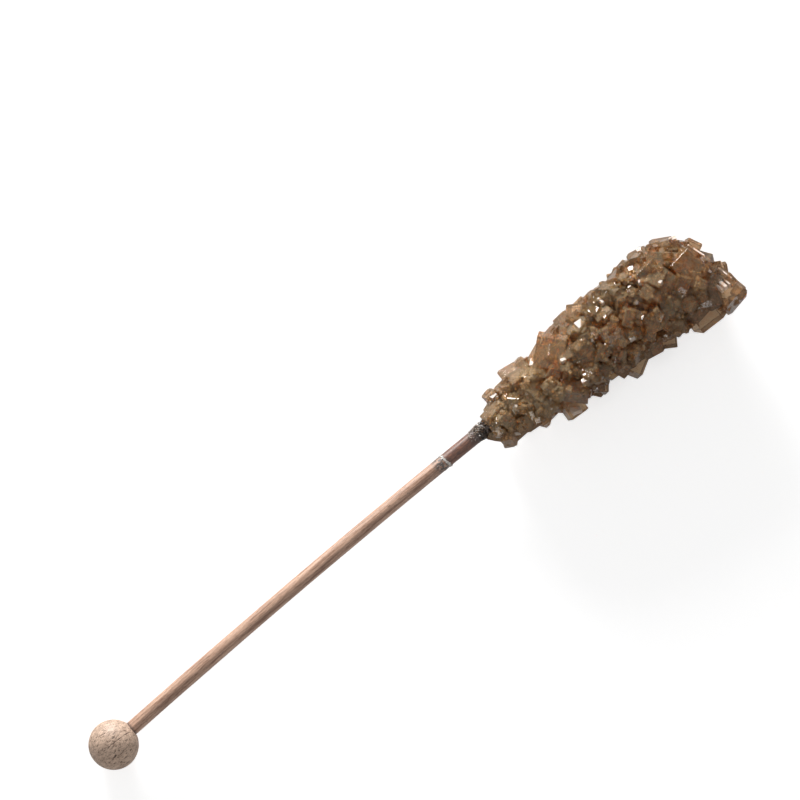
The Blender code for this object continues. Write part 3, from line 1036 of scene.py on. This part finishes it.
@dataclass
class SugarClub:
    """The club of fused brown sugar and the crystals that stand on it."""

    line: RisingArc
    # The outline: where the sugar starts and ends, and how its outer radius swells and shrinks
    neck: float = 104.6
    tip: float = 166.0
    radius: float = 9.1
    swell: float = 17.0
    power: float = 0.8
    shoulder: float = 156.6
    slope_step: float = 0.3
    # The fused core, as a share of the outer radius
    core_share: float = 0.78
    core_start: float = 107.5
    core_short: float = 1.2
    core_opening: float = 6.0
    core_least: float = 0.3
    core_rings: int = 200
    core_sides: int = 150
    # Its lumps, and smaller knobs on them
    core_lump: float = 0.75
    lump_step: float = 2.6
    knob_share: float = 0.6
    knob_step: float = 1.1
    # Its tone, which is darker over the stick
    core_tone: float = 0.35
    core_mottle: float = 0.25
    mottle_step: float = 3.0
    stick_end: float = 122.0
    stick_fade: float = 4.0
    stick_side: float = 1.0
    stick_shade: float = 1.2
    # The large crystals that are grown
    seed: int = 47
    grown: int = 150
    first_gap: float = 1.5
    last_gap: float = 0.2
    neck_size: float = 2.4
    tip_size: float = 4.4
    size_spread: float = 0.28
    shape_spread: float = 0.22
    most_tilt: float = math.radians(42.0)
    sunk: float = 0.30
    # What all large crystals share
    cut: float = 0.20
    lean: float = math.tan(math.radians(13.0))
    large_chamfer: float = 0.12
    named_tones: tuple[float, float] = (0.3, 0.6)
    grown_tones: tuple[float, float] = (0.2, 0.65)
    # The growth plates: which share of a side they cover, and their thickness
    plates: int = 420
    plate_cover: tuple[float, float] = (0.35, 0.8)
    plate_thickness: tuple[float, float] = (0.25, 0.6)
    plate_tones: tuple[float, float] = (-0.05, 0.12)
    plate_chamfer: float = 0.05
    plate_cut: float = 0.12
    # Where small and fine crystals stand, and their shapes
    deepest: float = 0.70
    fade: float = 0.06
    lowest: float = 0.4
    patch: float = 3.4
    patch_edge: float = 0.25
    full_cover: float = 16.0
    free_margin: float = 0.02
    small_shape: float = 0.25
    small_cuts: tuple[float, float] = (0.08, 0.36)
    small_chamfer: float = 0.06
    # The wavy border between the neck's pieces and the club's
    golden_end: float = 125.0
    golden_wave: float = 5.0
    golden_step: float = 3.0
    # A painted shade: how the tone rises with the distance from the line, darker deep between crystals
    depth_shade: float = 2.6
    even_depth: float = 0.98
    shade_depths: tuple[float, float] = (0.6, 1.15)
    # The bright facets, which are looked for from the top down
    glint_heights: tuple[float, float, float] = (21.0, 4.0, -0.05)
    glint_thickness: float = 1.0
    glint_sunk: float = 0.35
    glint_cut: float = 0.05
    glint_tone: float = 0.55

    def reach(self, stations: Array) -> Array:
        """Give the outer radius: radius times (1 - e^(-past the neck / swell)) to a power.

        Past the shoulder it shrinks as a circle does, to nothing at the tip.

        Args:
            stations: distances from the ball's centre.

        Returns:
            One radius for each station.
        """
        swell = 1.0 - np.exp(-np.maximum(stations - self.neck, 0.0) / self.swell)
        past = np.clip((stations - self.shoulder) / (self.tip - self.shoulder), 0.0, 1.0)
        return self.radius * swell ** self.power * np.sqrt(1.0 - past * past)

    def slope(self, stations: Array) -> Array:
        """Give how fast the outer radius grows with the station."""
        step = self.slope_step
        return (self.reach(stations + step) - self.reach(stations - step)) / (2.0 * step)

    def even_stations(self, count: int, first: float, last: float) -> Array:
        """Spread stations so that each has the same share of the club's surface.

        Args:
            count: how many stations.
            first: the least station.
            last: the greatest station.

        Returns:
            The stations in order.
        """
        fine = np.linspace(first, last, 400)
        radii = self.reach(fine)
        area = np.cumsum(radii * np.sqrt(1.0 + np.gradient(radii, fine) ** 2))
        return np.interp((np.arange(count) + 0.5) / count, area / area[-1], fine)

    def named_blocks(self, blocks: list[Block]) -> Crystals:
        """Place the crystals that are named one by one.

        Args:
            blocks: their sizes and places.

        Returns:
            The crystals.
        """
        offsets = np.array([(0.0, block.across, block.above) for block in blocks])
        stations = np.array([block.station for block in blocks])
        turns = np.array([Matrix.Rotation(math.radians(block.turn), 3, "Z")
                          @ Matrix.Rotation(math.radians(block.tip), 3, "X") for block in blocks])
        sides = np.array([block.size for block in blocks])
        chance = np.random.default_rng(self.seed + 1)
        tones = chance.uniform(*self.named_tones, len(blocks))
        return Crystals.grow(self.line.places(stations) + offsets, turns, sides, tones, self.lean, self.cut)

    def grown_blocks(self) -> Crystals:
        """Grow the crystals that cover the club on a spiral, larger towards the tip.

        The random numbers are drawn crystal by crystal, in the order that the solids use.

        Returns:
            The crystals.
        """
        chance = np.random.default_rng(self.seed)
        stations = self.even_stations(self.grown, self.neck + self.first_gap, self.tip - self.last_gap)
        places, turns, sides = [], [], []
        for number, station in enumerate(stations.tolist()):
            angle = number * GOLDEN_ANGLE
            around = Vector((0.0, math.cos(angle), math.sin(angle)))
            slope = float(self.slope(np.array(station)))
            outward = (around - slope * Vector((1.0, 0.0, 0.0))).normalized()
            share = (station - self.neck) / (self.tip - self.neck)
            mean = self.neck_size + (self.tip_size - self.neck_size) * share
            mean *= math.exp(self.size_spread * chance.standard_normal())
            sides.append(mean * np.exp(self.shape_spread * chance.standard_normal(3)))
            centre = Vector(self.line.places(np.array(station)))
            reach = float(self.reach(np.array(station)))
            places.append(centre + reach * around - self.sunk * mean * outward)
            turns.append(outward.to_track_quat("Z", "X").to_matrix()
                         @ Matrix.Rotation(chance.uniform(0.0, FULL_TURN), 3, "Z")
                         @ Matrix.Rotation(chance.uniform(0.0, self.most_tilt), 3, "X"))
        tones = np.random.default_rng(self.seed + 2).uniform(*self.grown_tones, self.grown)
        places, turns, sides = np.array(places), np.array(turns), np.array(sides)
        return Crystals.grow(places, turns, sides, tones, self.lean, self.cut)

    def core(self) -> Piece:
        """Make the fused body: the club at a share of its radius, made lumpy by two noises.

        Its start opens as a square root does. Its top is dark in a band over the stick, which
        shows through the neck and ends before the club is thick.

        Returns:
            The core, which carries its tone.
        """
        last = self.tip - self.core_short
        stations, angles = np.meshgrid(np.linspace(self.core_start, last, self.core_rings),
                                       np.arange(self.core_sides) * FULL_TURN / self.core_sides,
                                       indexing="ij")
        base = self.core_share * self.reach(stations)
        opening = np.sqrt(np.clip((stations - self.core_start) / self.core_opening, 0.02, 1.0))
        rough = self.line.round_it(stations, angles, base)
        lumps = SoftNoise(3).at(rough, self.lump_step)
        lumps += self.knob_share * SoftNoise(4).at(rough, self.knob_step)
        reach = np.maximum(base * opening + self.core_lump * lumps * opening, self.core_least)
        grid = self.line.round_it(stations, angles, reach)
        corners, faces = closed_tube(grid)
        off = grid - self.line.places(stations)
        beside = np.abs(off[..., 1] - self.stick_side)
        over_stick = np.clip(WoodStick.radius - beside, 0.0, 1.0) * (off[..., 2] > 0.0)
        over_stick *= np.clip((self.stick_end - stations) / self.stick_fade, 0.0, 1.0)
        mottle = self.core_mottle * SoftNoise(6).at(rough, self.mottle_step)
        tones = self.core_tone + mottle - self.stick_shade * over_stick
        return Piece("sugar_core", corners, faces, True, {"tone": with_poles(tones)})

    def depth(self, points: Array) -> tuple[Array, Array]:
        """Give the distances from the line, in all and sideways, as shares of the club's radius.

        Args:
            points: places in millimetres, (n, 3).

        Returns:
            The shares in all and the shares sideways, (n,) each.
        """
        stations = points[:, 0] - self.line.start[0]
        off = points - self.line.places(stations)
        radii = np.maximum(self.reach(stations), 1.0)
        return np.hypot(off[:, 1], off[:, 2]) / radii, np.abs(off[:, 1]) / radii

    def terraces(self, parents: Crystals, count: int) -> Crystals:
        """Raise thin plates on the large crystals' sides, as growth steps parallel to them.

        Args:
            parents: the crystals to stand on.
            count: how many plates.

        Returns:
            The plates.
        """
        chance = np.random.default_rng(self.seed + 3)
        number = chance.integers(0, len(parents.places), count)
        axis = chance.integers(0, 3, count)
        sign = chance.choice([-1.0, 1.0], count)
        size = chance.uniform(*self.plate_cover, (count, 3))
        unit = chance.uniform(-0.5, 0.5, (count, 3)) * (1.0 - size)
        rows = np.arange(count)
        unit[rows, axis] = 0.5 * sign
        lengths = np.linalg.norm(parents.frames[number], axis=1)
        size[rows, axis] = chance.uniform(*self.plate_thickness, count) / lengths[rows, axis]
        frames = parents.frames[number] * size[:, None, :]
        places = parents.places[number] + np.einsum("nij,nj->ni", parents.frames[number], unit)
        tones = parents.tones[number] + chance.uniform(*self.plate_tones, count)
        return Crystals(places, frames, tones, np.full(count, self.plate_cut))

    def settled(self, parents: Crystals, kind: Scatter) -> Crystals:
        """Scatter crystals on what shows of other crystals' sides.

        They stand in patches: a place is kept where a soft noise is above a random number near
        0, and the noise is raised at the neck, which is covered all over. Places too near the
        line, too low or inside a crystal fall out, and so do more and more of those far out
        sideways.

        Args:
            parents: the crystals to stand on.
            kind: how many crystals there are, their sizes and how they stand.

        Returns:
            The crystals.
        """
        chance = np.random.default_rng(kind.seed)
        points, outward = parents.surface(kind.count, chance)
        depth, beside = self.depth(points)
        fade = np.exp(-np.maximum(beside - kind.reach, 0.0) / self.fade)
        past_neck = points[:, 0] - self.line.start[0] - self.neck
        patch = SoftNoise(kind.seed + 7).at(points, self.patch)
        patch += np.clip(1.0 - past_neck / self.full_cover, 0.0, 1.0)
        keep = (depth > self.deepest) & (points[:, 2] > self.lowest)
        keep &= chance.uniform(0.0, 1.0, kind.count) < fade
        keep &= chance.uniform(-self.patch_edge, self.patch_edge, kind.count) < patch
        points, outward = points[keep], outward[keep]
        free = ~parents.hold(points, self.free_margin)
        points, outward = points[free], outward[free]
        total = len(points)
        size = kind.mean * np.exp(kind.spread * chance.standard_normal(total))
        sides = size[:, None] * np.exp(self.small_shape * chance.standard_normal((total, 3)))
        spins, tilts = chance.uniform(0.0, FULL_TURN, total), chance.uniform(0.0, kind.tilt, total)
        places = points - outward * (kind.sunk * size)[:, None]
        tones = chance.uniform(*kind.tones, total)
        cuts = chance.uniform(*self.small_cuts, total)
        return Crystals.grow(places, axis_turns(outward, spins, tilts), sides, tones, self.lean, cuts)

    def glints(self, parents: Crystals, towards_lamp: Vector) -> Crystals:
        """Set the named facets on top of the crystals below them.

        A facet points half way between straight up and the lamp, which sends the lamp's light up.

        Args:
            parents: the crystals to stand on.
            towards_lamp: the direction of the lamp.

        Returns:
            The crystals that carry the facets.
        """
        facing = np.array((Vector((0.0, 0.0, 1.0)) + towards_lamp.normalized()).normalized())
        heights = np.arange(*self.glint_heights)
        places, turns, sides = [], [], []
        for glint in GLINTS:
            spot = np.array(self.line.start[:2]) + (glint.station, glint.across)
            column = np.column_stack([np.broadcast_to(spot, (len(heights), 2)), heights])
            inside = parents.hold(column)
            if not inside.any():
                continue
            top = column[inside.argmax()]
            heading, lean = math.radians(glint.heading), math.radians(glint.tilt)
            along = np.array((math.cos(heading), math.sin(heading), 0.0))
            along -= facing * (along @ facing)
            along /= np.linalg.norm(along)
            up = math.cos(lean) * facing + math.sin(lean) * along
            along = math.cos(lean) * along - math.sin(lean) * facing
            places.append(top - self.glint_sunk * up)
            turns.append(np.column_stack([along, np.cross(up, along), up]))
            sides.append((glint.length, glint.width, self.glint_thickness))
        places, turns, sides = np.array(places), np.array(turns), np.array(sides)
        tones = np.full(len(places), self.glint_tone)
        return Crystals.grow(places, turns, sides, tones, 0.0, self.glint_cut)

    def put(self, name: str, crystals: Crystals, finishes: dict[str, bpy.types.Material],
            chamfer: float) -> None:
        """Place crystals as two pieces, the paler neck's and the club's, split along a wavy border.

        A painted shade raises the tone with the distance from the line, so that the gaps between
        crystals are dark and the outer faces pale.

        Args:
            name: what kind of crystals these are.
            crystals: the crystals.
            finishes: the finish of each end.
            chamfer: the width of the cut edges, or 0.
        """
        wave = self.golden_wave * SoftNoise(self.seed + 9).at(crystals.places, self.golden_step)
        at_neck = crystals.places[:, 0] - self.line.start[0] + wave < self.golden_end
        for end, chosen in (("neck", at_neck), ("club", ~at_neck)):
            piece = crystals.pick(chosen).piece(f"{end}_{name}_crystals")
            out, piece.marks["beside"] = self.depth(piece.corners)
            out = np.clip(out, *self.shade_depths)
            # Painted shade: the tone falls deep between crystals and rises on the outer faces
            piece.marks["tone"] += self.depth_shade * (out - self.even_depth)
            made = piece.place(finishes[end], Slot.SUGAR, SUGAR_NODE)
            if chamfer:
                add_chamfer(made, chamfer)

    def build(self, box: tuple[Vector, Vector], towards_lamp: Vector) -> None:
        """Place the core, the large crystals, their plates, the small and fine ones and the facets.

        Args:
            box: the lowest and the highest corner of the frame's sugar, in metres.
            towards_lamp: the direction of the main lamp.
        """
        neck, tip = self.line.start[0] + self.neck, self.line.start[0] + self.tip
        low, high = (np.array(corner) / MM for corner in box)
        # The core is set darker than the crystals: a painted shade for the gaps between them, where it
        # shows
        fused = SugarFinish("fused_sugar", 0.0, lightness=-0.15, roughness=0.25, relief=0.25)
        golden = SugarFinish("golden_sugar", 0.78, lightness=0.34)
        brown = SugarFinish("clear_brown_sugar", 0.85, lightness=0.33)
        # Painted highlight: the facets' pale pinkish finish adds to the lamp's real reflection in them
        highlight_finish = SugarFinish("painted_highlight_sugar", 0.5, pale=(1.0, 0.86, 0.74), lightness=0.6,
                              roughness=0.42, relief=0.06)
        finishes = {"neck": golden.material(neck, tip), "club": brown.material(neck, tip)}
        self.core().place(fused.material(neck, tip), Slot.SUGAR, SUGAR_NODE)
        large = Crystals.join([self.named_blocks(LARGE_BLOCKS), self.grown_blocks(),
                               self.named_blocks(EXTRA_BLOCKS)])
        self.put("large", large, finishes, self.large_chamfer)
        plates = self.fitting(self.terraces(large, self.plates), low, high)
        self.put("plate", plates, finishes, self.plate_chamfer)
        small = self.fitting(self.settled(large, SMALL), low, high)
        self.put("small", small, finishes, self.small_chamfer)
        standing = Crystals.join([large, small])
        fine = self.fitting(self.settled(standing, FINE), low, high)
        self.put("fine", fine, finishes, 0.0)
        facets = self.glints(standing, towards_lamp).piece("bright_facets")
        facets.place(highlight_finish.material(neck, tip), Slot.SUGAR, SUGAR_NODE)

    def fitting(self, crystals: Crystals, low: Array, high: Array) -> Crystals:
        """Keep the crystals that stay in a box and clear of the bare spots.

        Args:
            crystals: the crystals.
            low: the box's lowest corner.
            high: the box's highest corner.

        Returns:
            The crystals that are kept.
        """
        corners = crystals.corners()
        inside = (corners > low).all(axis=(1, 2)) & (corners < high).all(axis=(1, 2))
        for station, across, radius in BARE_SPOTS:
            spot = np.array(self.line.start[:2]) + (station, across)
            inside &= np.linalg.norm(corners[..., :2] - spot, axis=-1).min(axis=1) > radius
        return crystals.pick(inside)


@dataclass
class NeckCrust:
    """What the syrup left on the stick: a dark crust at the neck, a white ring and loose grains."""

    line: RisingArc
    stick_radius: float = 1.6
    # The crust: where it starts and ends, its thickness, how deep its inside lies in the stick,
    # and how far past its start it is at its full thickness
    start: float = 102.6
    end: float = 109.0
    thick: float = 0.36
    sunk: float = 0.12
    growth: float = 3.0
    rings: int = 110
    sides: int = 72
    # The ring of white grains
    ring_station: float = 95.05
    ring_slant: float = -0.28
    ring_width: float = 0.13
    ring_grains: int = 260
    ring_sizes: tuple[float, float] = (0.12, 0.30)
    ring_tones: tuple[float, float] = (0.7, 1.0)
    # Grains before the ring
    stray_start: float = 91.8
    stray_end: float = 95.2
    stray_grains: int = 70
    stray_sizes: tuple[float, float] = (0.08, 0.24)
    stray_tones: tuple[float, float] = (0.3, 0.9)
    # Grains on the dark neck, most of them on its upper left side
    neck_start: float = 102.0
    neck_grains: int = 150
    neck_sizes: tuple[float, float] = (0.08, 0.28)
    neck_side: float = math.radians(35.0)
    neck_spread: float = 0.75
    neck_rise: float = 0.3
    # The grains' shapes
    grain_tilt: float = 1.2
    grain_lean: float = 0.2
    grain_cuts: tuple[float, float] = (0.1, 0.3)
    seed: int = 21

    def body(self) -> Piece:
        """Make the crust: a tube on the stick whose thickness grows along it and is broken by noise.

        Returns:
            The crust.
        """
        stations, angles = np.meshgrid(np.linspace(self.start, self.end, self.rings),
                                       np.arange(self.sides) * FULL_TURN / self.sides, indexing="ij")
        share = np.clip((stations - self.start) / self.growth, 0.0, 1.0)
        sideways, up = self.stick_radius * np.cos(angles), self.stick_radius * np.sin(angles)
        rough = np.stack([stations, sideways, up], axis=-1)
        lumps = SoftNoise(self.seed).at(rough, 0.8) + 0.7 * SoftNoise(self.seed + 1).at(rough, 0.35)
        reach = self.stick_radius - self.sunk + self.thick * share * (0.7 + 0.7 * lumps)
        corners, faces = closed_tube(self.line.round_it(stations, angles, reach))
        return Piece("neck_crust", corners, faces)

    def grains(self) -> Crystals:
        """Scatter grains of white sugar: a slanted ring, a few before it and more on the dark neck.

        The ring's station changes with the cosine of the angle round the stick. Past the neck's
        start the grains grow fewer and rise on to the crust.

        Returns:
            The grains.
        """
        chance = np.random.default_rng(self.seed + 2)
        ring, before, neck = self.ring_grains, self.stray_grains, self.neck_grains
        angles = chance.uniform(0.0, FULL_TURN, ring + before + neck)
        angles[-neck:] = chance.normal(self.neck_side, self.neck_spread, neck)
        slant = self.ring_slant * np.cos(angles[:ring])
        ring_stations = self.ring_station + slant + chance.normal(0.0, self.ring_width, ring)
        stations = np.concatenate([ring_stations,
                                   chance.uniform(self.stray_start, self.stray_end, before),
                                   self.neck_start + chance.gamma(2.6, 1.0, neck)])
        sizes = np.concatenate([chance.uniform(*self.ring_sizes, ring),
                                chance.uniform(*self.stray_sizes, before),
                                chance.uniform(*self.neck_sizes, neck)])
        past_start = (stations[-neck:] - self.neck_start) / self.growth
        rise = self.neck_rise * np.clip(past_start, 0.0, 1.0)
        lift = np.concatenate([np.zeros(ring + before), rise])
        places = self.line.round_it(stations, angles, self.stick_radius + lift)
        outward = np.stack([np.zeros_like(angles), np.cos(angles), np.sin(angles)], axis=-1)
        total = len(angles)
        spins, tilts = chance.uniform(0.0, FULL_TURN, total), chance.uniform(0.0, self.grain_tilt, total)
        sides = sizes[:, None] * chance.uniform(0.6, 1.3, (total, 3))
        tones = np.concatenate([chance.uniform(*self.ring_tones, ring),
                                chance.uniform(*self.stray_tones, before),
                                chance.uniform(0.0, 0.8, neck) ** 1.5])
        cuts = chance.uniform(*self.grain_cuts, total)
        turns = axis_turns(outward, spins, tilts)
        return Crystals.grow(places, turns, sides, tones, self.grain_lean, cuts)

    def build(self) -> None:
        """Place the crust and the grains."""
        self.body().place(CrustFinish().material(), Slot.SUGAR, SUGAR_NODE)
        self.grains().piece("white_grains").place(GrainFinish().material(), Slot.SUGAR, SUGAR_NODE)


# ---------------------------------------------------------------- studio


@dataclass(frozen=True)
class SoftLamp:
    """A square lamp that faces the object's middle, in metres and watts."""

    name: str
    place: tuple[float, float, float]
    size: float
    power: float

    def hang(self) -> None:
        """Put the lamp into the scene."""
        light = bpy.data.lights.new(self.name, "AREA")
        light.shape = "SQUARE"
        light.size = self.size
        light.energy = self.power
        lamp = bpy.data.objects.new(self.name, light)
        lamp.location = self.place
        lamp.rotation_mode = "QUATERNION"
        lamp.rotation_quaternion = (-Vector(self.place)).to_track_quat("-Z", "Y")
        bpy.context.scene.collection.objects.link(lamp)


MAIN_LAMP = SoftLamp("soft_key", (0.20, 0.52, 0.09), 0.24, 5.2)
LAMPS = [MAIN_LAMP, SoftLamp("soft_left", (-0.42, 0.05, 0.62), 0.20, 0.45),
         SoftLamp("soft_right", (0.30, -0.42, 0.55), 0.16, 0.3)]


@dataclass(frozen=True)
class Studio:
    """A white table, soft lamps and a camera that looks straight down."""

    ball: tuple[float, float, float]
    # The camera: where it aims, from the ball's centre, and how wide it sees there
    aim_station: float = 95.81
    aim_across: float = 18.07
    aim_height: float = 7.0
    line_angle: float = 39.603
    view_width: float = 173.92
    lens: float = 400.0
    sensor: float = 36.0
    # The table and the room
    table_size: float = 1600.0
    table_white: Colour = (0.86, 0.86, 0.86)
    glow: float = 0.60
    room_light: float = 0.29
    bounces: int = 20

    def floor(self) -> bpy.types.Object:
        """Make the table top, a plain sheet that glows a little so that shadows stay pale.

        Returns:
            The table.
        """
        board = Board("white_table")
        seen = board.add("ShaderNodeLightPath").outputs["Is Camera Ray"]
        material = board.finish(Base_Color=self.table_white, Roughness=0.9, Emission_Color=(1.0, 1.0, 1.0),
                                Emission_Strength=board.math("MULTIPLY", seen, self.glow))
        half = 0.5 * self.table_size
        corners = np.array([(-half, -half, 0.0), (half, -half, 0.0), (half, half, 0.0), (-half, half, 0.0)])
        mesh = bpy.data.meshes.new("table")
        mesh.from_pydata((corners * MM).tolist(), [], [(0, 1, 2, 3)])
        mesh.materials.append(material)
        table = bpy.data.objects.new("table", mesh)
        bpy.context.scene.collection.objects.link(table)
        return table

    def room(self) -> None:
        """Light the room evenly white."""
        world = bpy.data.worlds.new("white_room")
        world.use_nodes = True
        sky = world.node_tree.nodes["Background"]
        sky.inputs["Color"].default_value = (1.0, 1.0, 1.0, 1.0)
        sky.inputs["Strength"].default_value = self.room_light
        bpy.context.scene.world = world

    def camera(self) -> bpy.types.Object:
        """Hang the camera over the object, turned so that the stick climbs to the upper right.

        Its height is the one from which the lens sees the view's width at the aim's height.

        Returns:
            The camera.
        """
        data = bpy.data.cameras.new("camera")
        data.lens, data.sensor_width = self.lens, self.sensor
        distance = self.view_width * self.lens / self.sensor
        data.clip_start, data.clip_end = 0.01, 10.0
        camera = bpy.data.objects.new("camera", data)
        aim = (self.ball[0] + self.aim_station, self.ball[1] + self.aim_across, self.aim_height + distance)
        camera.location = Vector(aim) * MM
        camera.rotation_euler = (0.0, 0.0, -math.radians(self.line_angle))
        bpy.context.scene.collection.objects.link(camera)
        bpy.context.scene.camera = camera
        return camera

    def tracing(self) -> None:
        """Let light pass through many crystals, and show colours as they are."""
        cycles = bpy.context.scene.cycles
        cycles.max_bounces = self.bounces
        cycles.transmission_bounces = self.bounces
        cycles.transparent_max_bounces = 12
        cycles.caustics_reflective = True
        cycles.caustics_refractive = True
        cycles.blur_glossy = 0.1
        cycles.sample_clamp_indirect = 6.0
        cycles.use_denoising = True
        bpy.context.scene.view_settings.view_transform = "Standard"

    def build(self) -> None:
        """Lay the table, hang the lamps and the camera and light the room."""
        self.floor()
        for lamp in LAMPS:
            lamp.hang()
        self.room()
        self.tracing()
        self.camera()


def main() -> None:
    """Build the ball, the stick, the sugar and the studio, in that order."""
    logging.basicConfig(level=logging.INFO, format="%(message)s")
    ball = WoodBall(*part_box("wood_ball"))
    stick_line = RisingArc(ball.centre, STICK_BOW)
    club_line = RisingArc(ball.centre, CLUB_BOW)

    ball.build().place(BallFinish().material(), Slot.BALL, "wood_ball")
    WoodStick(stick_line).build().place(StickFinish().material(), Slot.STICK, "wood_stick")
    SugarClub(club_line).build(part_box(SUGAR_NODE), Vector(MAIN_LAMP.place))
    NeckCrust(stick_line).build()
    Studio(ball.centre).build()


if __name__ == "__main__":
    main()
